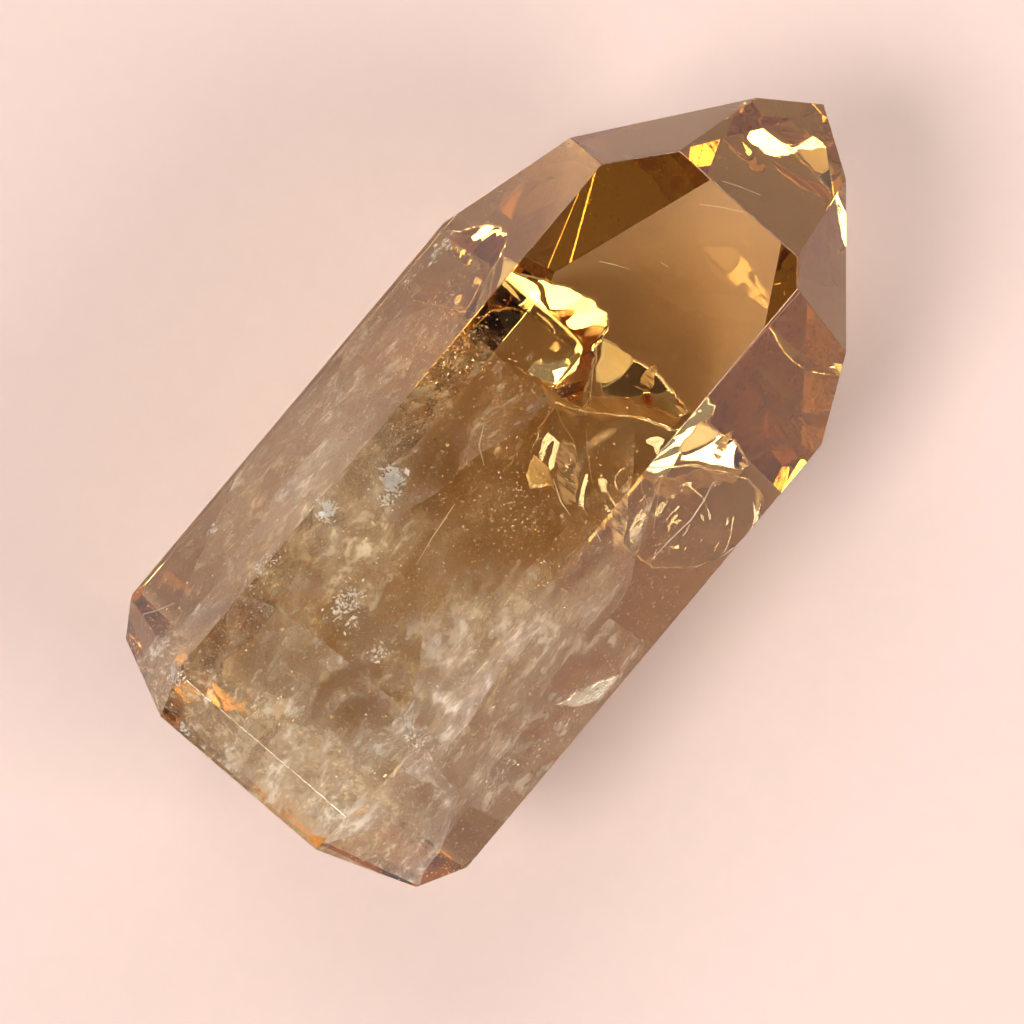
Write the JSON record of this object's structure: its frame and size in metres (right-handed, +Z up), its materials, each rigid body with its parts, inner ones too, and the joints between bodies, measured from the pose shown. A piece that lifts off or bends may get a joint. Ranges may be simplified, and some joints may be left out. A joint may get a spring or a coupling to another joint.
{
  "type": "polished crystal point",
  "caption": "Polished golden-brown quartz crystal with a six-sided shaft, a faceted point and a flat cut foot, lying on its back side.",
  "frame": {"origin": "under the middle of the stone's bounding box, on the surface that it lies on", "axes": "+X along the crystal's long axis towards the tip, +Z up from the back side it lies on towards the front side"},
  "size_m": [0.038, 0.0188, 0.0187],
  "materials": {
    "citrine": "polished"
  },
  "bodies": {
    "root": {"citrine_point": "citrine"}
  },
  "joints": []
}
